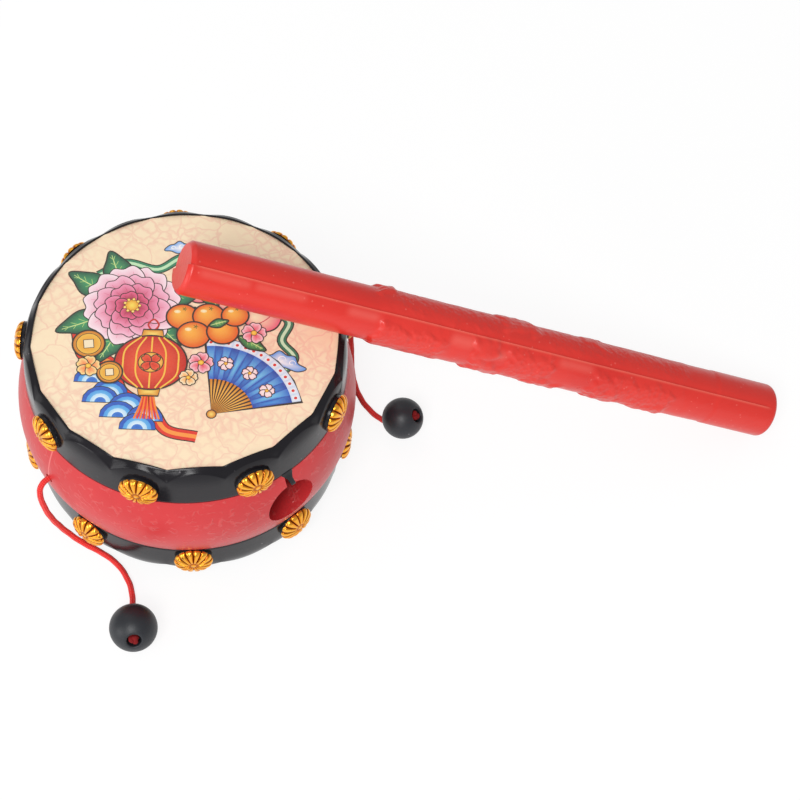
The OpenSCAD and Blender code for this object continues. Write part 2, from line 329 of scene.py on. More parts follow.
def newGroup(name, inputs, outputs):
    group = bpy.data.node_groups.new(name, "ShaderNodeTree")
    nodeWork["tree"] = group
    for label, value in inputs.items():
        socket = group.interface.new_socket(name=label, in_out="INPUT", socket_type="NodeSocketFloat")
        socket.default_value = value
    for label in outputs:
        group.interface.new_socket(name=label, in_out="OUTPUT", socket_type="NodeSocketFloat")
    return group, group.nodes.new("NodeGroupInput").outputs, group.nodes.new("NodeGroupOutput").inputs


def placeGroup(group, **values):
    return addNode("Group", {"node_tree": group}, values)


def makeGrain():
    # fine moulded skin: a height for bump and a slow drift for roughness and colour
    group, start, end = newGroup("mouldedSkin", {"Scale": 900.0}, ["Height", "Drift"])
    fine = addTexture("Noise", Scale=start["Scale"], Detail=4.0, Roughness=0.6)
    slow = addTexture("Noise", Scale=times(start["Scale"], 0.07), Detail=3.0)
    plug(end["Height"], fine[0])
    plug(end["Drift"], slow[0])
    return group


def makeFlecks():
    # sparse pale nicks and dust specks
    group, start, end = newGroup("paleFlecks", {"Scale": 500.0, "Size": 0.16}, ["Mask"])
    cells = addTexture("Voronoi", Scale=start["Scale"])
    pick = addTexture("Noise", Scale=90.0, Detail=1.0)
    near = addMath("LESS_THAN", cells["Distance"], start["Size"])
    plug(end["Mask"], times(near, addMath("GREATER_THAN", pick[0], 0.56)))
    return group


grainGroup = makeGrain()
fleckGroup = makeFlecks()


def satinSkin(s):
    # black moulded plastic with pale nicks
    skin = placeGroup(grainGroup, Scale=s["grain"])
    flecks = placeGroup(fleckGroup, Scale=s["flecks"], Size=s["fleckSize"])
    body = addMix(skin["Drift"], tint(*s["dark"]), tint(*s["light"]))
    return dict(Base_Color=addMix(flecks["Mask"], body, tint(*s["nick"])),
                Roughness=spreadValue(skin["Drift"], *s["rough"]),
                Specular_IOR_Level=s["shine"],
                Normal=addBump(skin["Height"], 0.00008, s["bump"]))


# cords, with their beads and knots
cordSet = {
    "thick": 2.0, "plies": 3, "plyDepth": 0.1, "twist": 5.2, "spacing": 0.5, "sides": 12,
    "yarnRate": 5.2, "yarnTurns": 4,
    "lead": [(48.6, 0, 30), (50.4, 0, 30), (52, 0, 30), (53.2, 0, 29.98)],
    # the first point of a route is its pivot
    "leftRoute": [
        (-54.4, 0, 30), (-54.82, -0.1, 29.6), (-56.29, -0.4, 28.46), (-57.15, -0.9, 26.81),
        (-57.45, -1.7, 24.2), (-57.35, -2.6, 21), (-56.9, -3.6, 17.4), (-56, -4.7, 13.6), (-54.5, -6.2, 9.4),
        (-52.7, -8.4, 5.6), (-50.8, -11.3, 2.8), (-48.8, -14.8, 1.4), (-47.1, -19, 1), (-46.2, -24, 1),
        (-46.6, -29, 1), (-48, -33.5, 1), (-50.4, -37.6, 1.7), (-53.3, -41.9, 4.05), (-56.7, -47.2, 7.4),
    ],
    "rightRoute": [
        (54.4, 0, 30), (55, 0, 29.45), (56.72, 0.1, 28.36), (57.9, 0.35, 26.3), (59.9, 0.65, 22),
        (61.9, 0.95, 17.5), (63.9, 1.25, 13), (65.6, 1.5, 9), (66.67, 1.65, 6.45), (67.29, 1.15, 3.93),
        (66.85, -0.45, 1.86), (65.4, -2.7, 1), (62.3, -6.8, 1), (59.9, -9.8, 1), (57.6, -13.1, 1),
        (55.4, -17.1, 1), (53.8, -21.2, 1), (53, -25.5, 1), (53, -29.2, 1), (53.4, -32.3, 1.1),
        (54.28, -35.4, 2.19), (57, -39.6, 6.8),
    ],
}
beadSet = {
    "leftAcross": 14.8, "rightAcross": 13.6, "holeAcross": 2.8, "seatAcross": 4.4,
    "seatDeep": 4.1, "edge": 0.45, "rows": 30, "steps": 56,
    "skin": {
        "grain": 1400.0, "flecks": 420.0, "fleckSize": 0.12,
        "dark": (24, 26, 31), "light": (44, 47, 53), "nick": (96, 100, 106),
        "rough": (0.34, 0.56), "shine": 0.45, "bump": 0.4,
    },
}
knotSet = {
    "tailAcross": 3.8, "stopAcross": 4.6, "stopPlace": 47.95, "cordShare": 0.235, "points": 72,
    "depth": 0.75,
}


def curveThrough(points, spacing):
    # an even run of points on a smooth curve through the route
    dense = softLine(points, 24)
    run = [0.0]
    for a, b in zip(dense, dense[1:]):
        run.append(run[-1] + (b - a).length)
    count = max(2, round(run[-1] / spacing))
    even = []
    k = 0
    for n in range(count + 1):
        goal = run[-1] * n / count
        while k < len(run) - 2 and run[k + 1] < goal:
            k += 1
        share = (goal - run[k]) / max(1e-9, run[k + 1] - run[k])
        even.append(dense[k].lerp(dense[k + 1], share))
    return even


def sweepTube(name, line, radius, ring=False):
    # a twisted cord round a line of points, with its own UV: length across, turn up
    sides = cordSet["sides"]
    plies = cordSet["plies"]
    count = len(line)
    aheads = []
    for n in range(count):
        after = line[(n + 1) % count] if ring else line[min(n + 1, count - 1)]
        before = line[n - 1] if ring else line[max(n - 1, 0)]
        aheads.append((after - before).normalized())
    side = aheads[0].orthogonal().normalized()
    corners = []
    run = 0.0
    runs = []
    for n in range(count):
        side = (side - aheads[n] * side.dot(aheads[n])).normalized()
        lift = aheads[n].cross(side)
        if n:
            run += (line[n] - line[n - 1]).length
        runs.append(run)
        for k in range(sides):
            a = 2 * math.pi * k / sides
            ply = math.cos(plies * (a + 2 * math.pi * run / cordSet["twist"] / plies))
            r = radius * (1 - cordSet["plyDepth"] * (0.5 - 0.5 * ply))
            corners.append((line[n] + side * (r * math.cos(a)) + lift * (r * math.sin(a))) * mm)
    rows = count if ring else count - 1
    faces = []
    turns = []
    for n in range(rows):
        m = (n + 1) % count
        last = runs[m] if m else runs[n] + cordSet["spacing"]
        for k in range(sides):
            j = (k + 1) % sides
            faces.append((n * sides + k, n * sides + j, m * sides + j, m * sides + k))
            here = k / sides
            there = (k + 1) / sides
            turns += [(runs[n], here), (runs[n], there), (last, there), (last, here)]
    if not ring:
        faces.append(tuple(reversed(range(sides))))
        faces.append(tuple((count - 1) * sides + k for k in range(sides)))
        turns += [(0, 0)] * (2 * sides)
    piece = meshPiece(name, [tuple(c) for c in corners], faces)
    layer = piece.data.uv_layers.new(name="cordRun")
    for corner, place in zip(layer.data, turns):
        corner.uv = place
    smoothBy(piece, 60)
    return piece


def tieKnot(name, across, place, ahead):
    # a pulled-tight overhand knot as a closed trefoil
    cordR = knotSet["cordShare"] * across
    reach = across / 2 - cordR
    turn = Vector(ahead).to_track_quat("Z", "Y")
    line = []
    for n in range(knotSet["points"]):
        t = 2 * math.pi * n / knotSet["points"]
        x = (math.sin(t) + 2 * math.sin(2 * t)) / 3
        y = (math.cos(t) - 2 * math.cos(2 * t)) / 3
        spot = Vector((x, y, -math.sin(3 * t) * knotSet["depth"])) * reach
        line.append(turn @ spot + Vector(place))
    return sweepTube(name, line, cordR, ring=True)


def turnBead(name, across, place, ahead):
    r = across / 2
    hole = beadSet["holeAcross"] / 2
    seat = beadSet["seatAcross"] / 2
    edge = beadSet["edge"]
    corner = edge * 0.3
    floor = r - beadSet["seatDeep"]
    inA = math.asin((hole + edge) / r)
    outA = math.asin((seat + edge) / r)
    inZ = -r * math.cos(inA)
    outZ = r * math.cos(outA)
    line = [(hole, 0, floor), (hole, 0, inZ + edge), (hole + corner, 0, inZ + corner)]
    for k in range(beadSet["rows"] + 1):
        a = -math.pi / 2 + inA + (math.pi - inA - outA) * k / beadSet["rows"]
        line.append((r * math.cos(a), 0, r * math.sin(a)))
    line += [(seat + corner, 0, outZ - corner), (seat, 0, outZ - edge), (seat, 0, floor)]
    piece = turnProfile(name, line, beadSet["steps"])
    turn = Vector(ahead).to_track_quat("Z", "Y").to_matrix().to_4x4()
    piece.data.transform(Matrix.Translation(Vector(place) * mm) @ turn)
    smoothBy(piece, 50)
    return piece


def cordSkin():
    where = addNode("UVMap", {"uv_map": "cordRun"})
    part = addNode("SeparateXYZ", None, {0: where[0]})
    # two hands of yarn crossing: length and turn added and taken
    length = times(part[0], cordSet["yarnRate"])
    around = times(part[1], 2 * math.pi * cordSet["yarnTurns"])
    one = addMath("SINE", addMath("ADD", length, around))
    two = addMath("SINE", addMath("SUBTRACT", length, around))
    weave = spreadValue(times(one, two), 0.0, 1.0)
    # painted shade and painted highlight: the colour follows the weave's height, darker in its hollows and
    # paler on its crests
    stops = [(0.0, tint(222, 34, 32)), (0.5, tint(246, 58, 52)), (1.0, tint(255, 98, 90))]
    return dict(Base_Color=addRamp(weave, stops), Roughness=0.7, Sheen_Weight=0.25,
                Specular_IOR_Level=0.3, Normal=addBump(weave, 0.00025, 0.6))


def knotSkin():
    # painted shade: the knots in the beads are coloured dark, as the shade of the hole falls on them
    height = placeGroup(grainGroup, Scale=2400.0)["Height"]
    return dict(Base_Color=addMix(height, tint(84, 12, 16), tint(150, 28, 30)), Roughness=0.8,
                Specular_IOR_Level=0.2, Normal=addBump(height, 0.0002, 0.5))


cordRed = newMaterial("cordFibre", cordSkin)
knotShadeRed = newMaterial("knotFibre", knotSkin)
beadBlack = newMaterial("beadSatin", satinSkin, beadSet["skin"])


def addPellet(side, route, across):
    sign = -1 if side == "left" else 1
    points = [(sign * x, y, z) for x, y, z in cordSet["lead"]] + list(route[1:])
    middle = Vector(route[-1])
    ahead = (middle - Vector(route[-2])).normalized()
    tail = middle + ahead * (across / 2 - knotSet["tailAcross"] / 2)
    line = curveThrough(points, cordSet["spacing"])
    line += [middle + (tail - middle) * (k / 10) for k in range(1, 9)]
    cord = sweepTube(side + "CordBraid", line, cordSet["thick"] / 2)
    bead = turnBead(side + "BeadTurned", across, middle, ahead)
    tailKnot = tieKnot(side + "TailKnotTied", knotSet["tailAcross"], tail, ahead)
    stop = (sign * knotSet["stopPlace"], 0, 30)
    stopKnot = tieKnot(side + "StopKnotTied", knotSet["stopAcross"], stop, (1, 0, 0))
    for piece, material in ((cord, cordRed), (tailKnot, knotShadeRed), (stopKnot, cordRed)):
        piece.data.materials.append(material)
    bead.data.materials.append(beadBlack)
    body = side + "_pellet"
    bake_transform(cord)
    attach(bead, body)
    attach(tailKnot, body)
    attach(stopKnot, "drum")
    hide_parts(side + "_cord")
    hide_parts(side + "_bead")
    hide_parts(side + "_tail_knot")
    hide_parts(side + "_stop_knot")


addPellet("left", cordSet["leftRoute"], beadSet["leftAcross"])
addPellet("right", cordSet["rightRoute"], beadSet["rightAcross"])

# rims: a turned profile with its edge drawn into lobes
rimSet = {
    "steps": 540, "lobes": 18, "lobePower": 2.1, "topTurn": 16.6, "bottomTurn": 34.5,
    "tall": 15.4, "drum": 60.0,
    # radius and height from the barrel's edge, at the middle of a lobe and at the cusp between two
    "lobe": [
        (47.6, 0.1), (49.3, 0.0), (49.5, 0.08), (49.6, 0.3), (49.56, 1.2), (49.4, 5.5), (49.26, 8.6),
        (49.1, 10.6), (48.8, 12.2), (48.42, 13.4), (48.12, 14.05), (47.98, 14.28), (47.78, 14.42),
        (47.3, 14.74), (46.8, 15.12), (46.52, 15.33), (46.33, 15.38), (46.13, 15.3), (46.04, 15.05),
        (46.2, 14.6), (46.6, 14.1), (46.7, 13.4), (47.6, 13.3),
    ],
    "cusp": [
        (47.6, 0.1), (49.3, 0.0), (49.5, 0.08), (49.6, 0.3), (49.56, 1.2), (49.42, 5.0), (49.34, 7.4),
        (49.3, 8.4), (49.27, 9.4), (49.24, 10.3), (49.2, 10.9), (49.12, 11.14), (48.94, 11.36),
        (48.4, 12.3), (47.6, 13.7), (47.08, 14.3), (46.8, 14.46), (46.62, 14.4), (46.52, 14.2),
        (46.52, 13.95), (46.67, 13.72), (46.7, 13.4), (47.6, 13.3),
    ],
    "seats": 9, "seatAcross": 11.5, "seatReach": 50.1, "seatDeep": 2.8, "seatEdge": 0.45,
    "seatCut": 0.3, "seatLift": 5.6, "tongueWide": 1.7, "tongueThick": 1.5, "tongueLow": 39.2,
    "tongueHigh": 45.4, "tongueLean": 1.5, "tongueFlare": 1.5,
    "skin": {
        "grain": 700.0, "flecks": 330.0, "fleckSize": 0.1,
        "dark": (18, 17, 20), "light": (34, 32, 37), "nick": (104, 100, 104),
        "rough": (0.1, 0.26), "shine": 0.22, "bump": 0.3,
    },
}
# the barrel's belt, which the tongue lies on
beltSet = {"reach": 52.8, "bulge": 3.2, "middle": 30.0, "half": 14.6}


def modelSeat():
    # a round pad standing out of the rim, cut flat just above the rim's edge
    s = rimSet
    seat = newShape("seat", bpy.ops.mesh.primitive_cylinder_add, vertices=56,
                    radius=s["seatAcross"] / 2 * mm, depth=s["seatDeep"] * mm)
    roundEdges(seat, s["seatEdge"], 4)
    seat.data.transform(moveBy(s["seatReach"] - s["seatDeep"] / 2, 0, s["seatLift"]) @ turnBy(90, "Y"))
    keepAbove(s["seatCut"] * mm)
    return seat


def turnRim(name, turn):
    piece = turnProfile(name, [(r, 0, z) for r, z in rimSet["lobe"]], rimSet["steps"])
    pitch = 2 * math.pi / rimSet["lobes"]
    pairs = list(zip(rimSet["lobe"], rimSet["cusp"]))
    for corner in piece.data.vertices:
        x, y, z = corner.co / mm
        a = math.atan2(y, x)
        spot = (math.hypot(x, y), z)
        high, low = min(pairs, key=lambda pair: math.dist(pair[0], spot))
        off = (a - math.radians(turn) + pitch / 2) % pitch - pitch / 2
        share = (abs(off) / (pitch / 2)) ** rimSet["lobePower"]
        r = high[0] + (low[0] - high[0]) * share
        lift = high[1] + (low[1] - high[1]) * share
        corner.co = Vector((r * math.cos(a), r * math.sin(a), lift)) * mm
    seat = modelSeat()
    places = [turnBy(turn + 360 / rimSet["seats"] * k, "Z") for k in range(rimSet["seats"])]
    seats = [copyTo(seat, "seat" + str(k), place) for k, place in enumerate(places)]
    bpy.data.objects.remove(seat)
    joinInto(piece, seats)
    return piece


def barrelReach(z):
    # the belt's radius at a height
    return beltSet["reach"] - beltSet["bulge"] * ((z - beltSet["middle"]) / beltSet["half"]) ** 2


def addTongue():
    # a thin strip on the belt, wider where it leaves the rim
    tongue = newShape("tongue", bpy.ops.mesh.primitive_cube_add, size=mm)
    wide = rimSet["tongueWide"]
    thick = rimSet["tongueThick"]
    low = rimSet["tongueLow"]
    high = rimSet["tongueHigh"]
    beltEnd = beltSet["middle"] + beltSet["half"]
    tongue.data.transform(Matrix.Diagonal((wide, thick, high - low, 1)))
    startEdit()
    bpy.ops.mesh.subdivide(number_cuts=5)
    endEdit()
    for corner in tongue.data.vertices:
        x, y, z = corner.co / mm
        z = low + (z + (high - low) / 2)
        flare = 1 + rimSet["tongueFlare"] * ease(41.8, 45.2, z)
        lean = rimSet["tongueLean"] * (high - z) / (high - low)
        out = barrelReach(min(z, beltEnd)) + 0.14 - 0.12 * (2 * x / wide) ** 2
        corner.co = Vector((x * flare + lean, -out if y < -0.7 else -out + thick / 2 + y, z)) * mm
    roundEdges(tongue, 0.12, 2)
    return tongue


rimBlack = newMaterial("rimSatin", satinSkin, rimSet["skin"])


def addRims():
    top = turnRim("topRimTurned", rimSet["topTurn"])
    top.data.transform(moveBy(0, 0, rimSet["drum"] - rimSet["tall"]))
    joinInto(top, [addTongue()])
    bottom = turnRim("bottomRimTurned", -rimSet["bottomTurn"])
    bottom.data.transform(moveBy(0, 0, rimSet["tall"]) @ turnBy(180, "X"))
    for piece, node in ((top, "top_rim"), (bottom, "bottom_rim")):
        smoothBy(piece, 38)
        piece.data.materials.append(rimBlack)
        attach(piece, "drum")
        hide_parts(node)


addRims()
print("rims turned")

# studs: one fluted rosette, copied round both rims
studSet = {
    "across": 12.1, "tall": 2.6, "foot": 0.12, "ribs": 14, "groove": 0.6, "ring": 0.2,
    "ringDeep": 0.5, "hubDeep": 0.15, "topTurn": 17, "bottomTurn": 34.5, "reach": 50.1,
    "lift": 9.8,
}


def modelStud():
    # half a ball of radius 1, whose corners are moved to the rosette's form
    s = studSet
    piece = newShape("stud", bpy.ops.mesh.primitive_uv_sphere_add, segments=s["ribs"] * 10, ring_count=36,
                     radius=1)
    keepAbove(0.0001)
    r = s["across"] / 2
    valleys = []
    for corner in piece.data.vertices:
        x, y, z = corner.co
        out = math.hypot(x, y)
        a = math.atan2(y, x)
        groove = (1 - abs(math.sin(s["ribs"] * a / 2))) ** 1.6 * ease(0.16, 0.42, out)
        height = 0.02
        if z > 0.01:
            dome = z ** 0.85
            height = s["foot"] + dome * (s["tall"] - s["foot"])
            height -= s["groove"] * groove * (0.35 + 0.65 * dome ** 0.4)
            height -= s["ringDeep"] * bell(out - s["ring"], 0.07) + s["hubDeep"] * bell(out, 0.15)
        wide = r * (1 - 0.045 * groove)
        # painted shade: how dark the gold is coloured in the flutes and the ring groove
        valleys.append(min(1, groove * 1.1 + 0.8 * bell(out - s["ring"], 0.06)))
        corner.co = Vector((x * wide, y * wide, height)) * mm
    storeValue(piece, "valley", valleys)
    smoothBy(piece, 60)
    return piece


def goldSkin():
    skin = placeGroup(grainGroup, Scale=1600.0)
    # painted shade: the gold runs to dark brown down in the flutes and the ring groove
    stops = [(0.0, tint(255, 186, 66)), (0.35, tint(236, 142, 32)), (0.7, tint(140, 62, 6)),
             (1.0, tint(70, 28, 2))]
    deep = addRamp(readStored("valley"), stops)
    worn = addMix(skin["Drift"], deep, tint(214, 128, 26))
    return dict(Base_Color=addMix(spreadValue(skin["Drift"], 0.0, 0.5), deep, worn), Metallic=0.85,
                Roughness=spreadValue(skin["Drift"], 0.1, 0.26),
                Normal=addBump(skin["Height"], 0.00022, 0.35))


studGold = newMaterial("studPlating", goldSkin)


def addStuds():
    stud = modelStud()
    stud.data.materials.append(studGold)
    for rim, turn, lift in (("top", studSet["topTurn"], rimSet["drum"] - studSet["lift"]),
                            ("bottom", studSet["bottomTurn"], studSet["lift"])):
        for k in range(rimSet["seats"]):
            spin = turnBy(turn + 360 / rimSet["seats"] * k, "Z")
            place = spin @ moveBy(studSet["reach"], 0, lift) @ turnBy(90, "Y")
            piece = copyTo(stud, rim + "StudFluted" + str(k + 1), place)
            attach(piece, "drum")
            # the node of the same place, found by its box
            goal = place.translation
            best = min((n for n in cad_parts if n.startswith(rim + "_stud")),
                       key=lambda n: ((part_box(n)[0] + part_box(n)[1]) / 2 - goal).length)
            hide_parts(best)
    bpy.data.objects.remove(stud)


addStuds()
print("studs placed")

# barrel halves keep their solids and take a moulded red skin, in metres
barrelSet = {
    "socketLift": 0.03, "socketR": 0.0086, "socketMouth": -0.0525, "socketShade": -0.036,
    "seamFrom": 0.0001, "seamTo": 0.0004,
}


def shellSkin():
    s = barrelSet
    place = addNode("TexCoord")["Object"]
    part = addNode("SeparateXYZ", None, {0: place})
    skin = placeGroup(grainGroup, Scale=520.0)
    bent = warpPlace(place, 160.0, 2.0, (0.008, 0.008, 0.008))
    cells = addTexture("Voronoi", {"feature": "DISTANCE_TO_EDGE"}, Scale=270.0, Vector=bent)
    scroll = addRamp(cells["Distance"], [(0.0, 1), (0.05, 0.7), (0.11, 0)], smooth=True)
    # only some of the scroll stands out, so that it breaks into short strokes
    pick = addTexture("Noise", Scale=330.0, Detail=2.0)
    strokes = times(scroll, addRamp(pick[0], [(0.5, 0), (0.62, 1)]))
    height = addMath("MULTIPLY_ADD", skin["Height"], 0.3, strokes)
    body = addMix(skin["Drift"], tint(182, 36, 40), tint(216, 58, 61))
    # painted highlight: the raised strokes are coloured pale pink, as glints on the relief
    colour = addMix(spreadValue(strokes, 0.0, 0.11), body, tint(248, 158, 150))
    # a pale line where the two halves meet
    aside = addMath("ABSOLUTE", part["Y"])
    seam = spreadValue(aside, 0.45, 0.0, s["seamFrom"], s["seamTo"])
    colour = addMix(seam, colour, tint(250, 150, 146))
    # painted shade: the handle's socket is coloured darker inside, near its axis and in from the belt
    rise = addMath("SUBTRACT", part["Z"], s["socketLift"])
    squares = addMath("ADD", addMath("POWER", part["X"], 2.0), addMath("POWER", rise, 2.0))
    near = addMath("LESS_THAN", addMath("SQRT", squares), s["socketR"])
    front = addMath("LESS_THAN", part["Y"], 0.0)
    deep = spreadValue(part["Y"], 0.0, 0.88, s["socketMouth"], s["socketShade"])
    shade = times(times(near, front), deep)
    return dict(Base_Color=addMix(shade, colour, tint(70, 8, 12)), Specular_IOR_Level=0.4,
                Roughness=spreadValue(skin["Drift"], 0.28, 0.46), Normal=addBump(height, 0.0003, 0.4))


def dressNodes(material, *names):
    for name in names:
        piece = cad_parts[name]
        piece.data.materials.clear()
        piece.data.materials.append(material)


dressNodes(newMaterial("barrelRed", shellSkin), "barrel_front_half", "barrel_back_half")
print("barrel dressed")

# handle halves: a grid wrapped round the rod's outline, then given a wall
handleSet = {
    "long": 207.0, "plugR": 8.2, "plugLong": 60.0, "plugEase": 4.0, "tip": 1.2, "gripR": 8.6,
    "coilFrom": 60.4, "coilTo": 183.0, "coilPitch": 43.0, "coilRise": 1.1, "coilFade": 8.0,
    "buttR": 8.8, "buttEdge": 1.6, "wall": 1.9, "seam": 0.3, "seamProud": 0.13,
    # where along the handle the parting line comes in and goes out
    "lineIn": (1.0, 4.0),
    "lineOut": (202.0, 204.5),
    "around": 72, "along": 330,
    # added rows near the tip, at the plug's end and near the butt's end, then shares of the end faces
    "tipRows": [0.35, 1.4, 2.4, 2.7, 60.3, 62.4],
    "buttRows": [1.45, 1.2, 0.9, 0.5, 0.2, 0.05],
    "caps": [0.02, 0.3, 0.6, 0.85, 0.97],
    "turn": -37.2, "lean": 23.3, "roll": -62.0, "offset": 4.5, "footBack": 18.78,
    "footLift": 8.2128, "tipStep": 0.35,
    # relief where the coil is broken up: along from and to, angle from and to, rise, share of scales
    "lumps": [
        (62, 84.5, 204, 312, 0.5, 1.0), (94.2, 102.5, 184, 228, 0.75, 0.2),
        (95.5, 106.6, 236, 320, 1.05, 0.6), (106.6, 122, 192, 314, 0.55, 1.0),
        (116, 128.5, 250, 320, 0.9, 0.4), (139.6, 149, 228, 320, 1.0, 0.8),
        (138, 167, 196, 304, 0.45, 1.0), (155, 167, 244, 318, 0.8, 0.5), (61.5, 66, 60, 138, 1.0, 0.3),
        (66, 102, 96, 170, 0.16, 0.7), (102.6, 115.7, 60, 152, 0.8, 0.7),
        (133, 140, 60, 140, 0.55, 0.3), (118, 172, 96, 168, 0.14, 0.7),
    ],
    # smooth patches with a pale painted sheen, a highlight painted into the colour
    "paintedSheens": [
        (3.5, 19, 188, 199), (21, 37, 188, 198), (51, 61, 188, 204), (86, 93.5, 190, 211),
        (102.8, 105.8, 202, 218), (124, 136, 188, 201),
    ],
}


def handlePlace():
    # same moves as in the model: roll, slide along, lean, set off, turn
    h = handleSet
    return (turnBy(h["turn"], "Z")
            @ moveBy(h["long"] - h["footBack"], h["offset"], h["footLift"])
            @ turnBy(h["lean"], "Y")
            @ moveBy(h["buttEdge"] - h["long"], 0, 0)
            @ turnBy(h["roll"], "X"))


def coilTurn(s):
    return math.radians(90 + 360 * (s - handleSet["coilFrom"]) / handleSet["coilPitch"])


def coilLift(s, a):
    h = handleSet
    if s < h["coilFrom"] or s > h["coilTo"]:
        return 0.0
    # the band's edges wander a little, and its top is uneven
    wander = 0.16 * math.sin(s * 0.9 + 2 * a) + 0.1 * math.sin(s * 1.7 - 3 * a)
    ridge = max(0.0, (math.cos(a - coilTurn(s)) + 0.3 + wander) / 1.3)
    top = 0.86 + 0.14 * math.sin(s * 0.62 + 3 * a) * math.sin(s * 0.35 - 2 * a)
    fade = min(1.0, (h["coilTo"] - s) / h["coilFade"]) * ease(0, 9, s - h["coilFrom"])
    return h["coilRise"] * ease(0.04, 0.42, ridge) * top * fade


def patchShare(patch, s, a, soft, wander):
    # how far a place lies within a patch of the handle, its edges wandering
    angle = math.degrees(a) % 360
    s = s + wander * (0.9 * math.sin(angle * 0.11 + patch[0]) + 0.45 * math.sin(angle * 0.29))
    angle = angle + wander * (5 * math.sin(s * 0.55 + patch[2]) + 3 * math.sin(s * 1.3))
    return within(patch[0], patch[1], soft, s) * within(patch[2], patch[3], 7 * soft, angle)


def brokenRelief(s, a):
    # the coil keeps its full height on the hidden side, and breaks into lumps on the side that shows
    shows = within(57.5, 317.5, 17.5, math.degrees(a) % 360)
    lift = coilLift(s, a) * (1 - 0.86 * shows)
    uneven = 0.82 + 0.18 * math.sin(s * 1.1 + 4 * a) * math.sin(s * 0.5 - 5 * a)
    scaly = 0.0
    for lump in handleSet["lumps"]:
        share = patchShare(lump, s, a, 1.2, 1.0)
        lift = max(lift, lump[4] * share * uneven + 0.3 * lift)
        scaly = max(scaly, share * lump[5])
    paintedSheen = max(patchShare(patch, s, a, 1.6, 0.0) for patch in handleSet["paintedSheens"])
    return min(lift, handleSet["coilRise"]), scaly * shows, paintedSheen, shows


def handleReach(s):
    # the rod's radius at a place along it, without relief
    h = handleSet
    if s < h["tip"]:
        t = s / h["tip"]
        return h["plugR"] - h["tip"] * (1 - t) * (1 - 0.12 * t)
    if s < h["coilTo"]:
        return h["plugR"] + (h["gripR"] - h["plugR"]) * ease(h["plugLong"], h["plugLong"] + h["plugEase"], s)
    if s < h["long"] - h["buttEdge"]:
        return h["gripR"] + (h["buttR"] - h["gripR"]) * ease(h["coilTo"], h["coilTo"] + 0.8, s)
    t = (s - h["long"] + h["buttEdge"]) / h["buttEdge"]
    return h["buttR"] - h["buttEdge"] * (1 - math.sqrt(max(0, 1 - t * t)))


def handleRuns():
    # places on the outline from the tip's middle to the butt's middle: run, and share of the reach
    h = handleSet
    runs = [h["long"] * k / h["along"] for k in range(h["along"] + 1)]
    runs += h["tipRows"] + [h["long"] - back for back in h["buttRows"]]
    inner = [(0.0, share) for share in h["caps"]]
    outer = [(h["long"], share) for share in reversed(h["caps"])]
    return inner + [(run, 1.0) for run in sorted(runs)] + outer


def wrapHalf(name, low):
    h = handleSet
    runs = handleRuns()
    piece = newShape(name, bpy.ops.mesh.primitive_grid_add, x_subdivisions=len(runs) - 1,
                     y_subdivisions=h["around"], size=1)
    start = math.pi if low else 0.0
    stored = {"bandHighlight": [], "paintedSheenPatch": [], "coilScales": [], "partingHighlight": []}
    for corner in piece.data.vertices:
        k = round((corner.co.x + 0.5) * (len(runs) - 1))
        v = corner.co.y + 0.5
        a = start + math.pi * v
        s, share = runs[k]
        lift, scaly, paintedSheen, shows = brokenRelief(s, a)
        # a softened parting edge, a little proud on the lower half
        gap = min(v, 1 - v) * math.pi * h["plugR"]
        seam = h["seamProud"] * bell(gap, 1.6) if low else -h["seam"] * bell(gap, 1.1)
        on = share * ease(*h["lineIn"], s) * (1 - ease(*h["lineOut"], s))
        r = handleReach(s) * share
        if share == 1.0:
            r = r + lift + seam * on
        grip = 1 if h["coilFrom"] < s < h["coilTo"] else 0
        plain = grip * (1 - shows) * ease(-0.35, 0.05, math.cos(a - coilTurn(s)))
        # painted highlight: the raised band is coloured paler where it stands out
        stored["bandHighlight"].append(min(1, lift / h["coilRise"]))
        stored["paintedSheenPatch"].append(paintedSheen)
        stored["coilScales"].append(max(scaly, plain))
        # painted highlight along the parting edge of the lower half
        stored["partingHighlight"].append(on * bell(gap, 0.4) if low else 0.0)
        # the lower half stands out past the upper one at the tip
        step = (-h["tipStep"] if low else h["tipStep"]) * (1 - ease(0.5, 7.0, s))
        corner.co = Vector((s + step, r * math.cos(a), r * math.sin(a))) * mm
    for label, values in stored.items():
        storeValue(piece, label, values)
    pickOnly(piece)
    startEdit()
    bpy.ops.mesh.normals_make_consistent(inside=False)
    endEdit()
    # outwards is away from the rod's axis
    middle = piece.data.polygons[len(piece.data.polygons) // 2]
    if middle.normal.dot(Vector((0, middle.center.y, middle.center.z))) < 0:
        startEdit()
        bpy.ops.mesh.flip_normals()
        endEdit()
    wall = piece.modifiers.new("wall", "SOLIDIFY")
    wall.thickness = h["wall"] * mm
    wall.offset = -1
    applyAll(piece)
    piece.data.transform(handlePlace())
    smoothBy(piece, 45)
    return piece


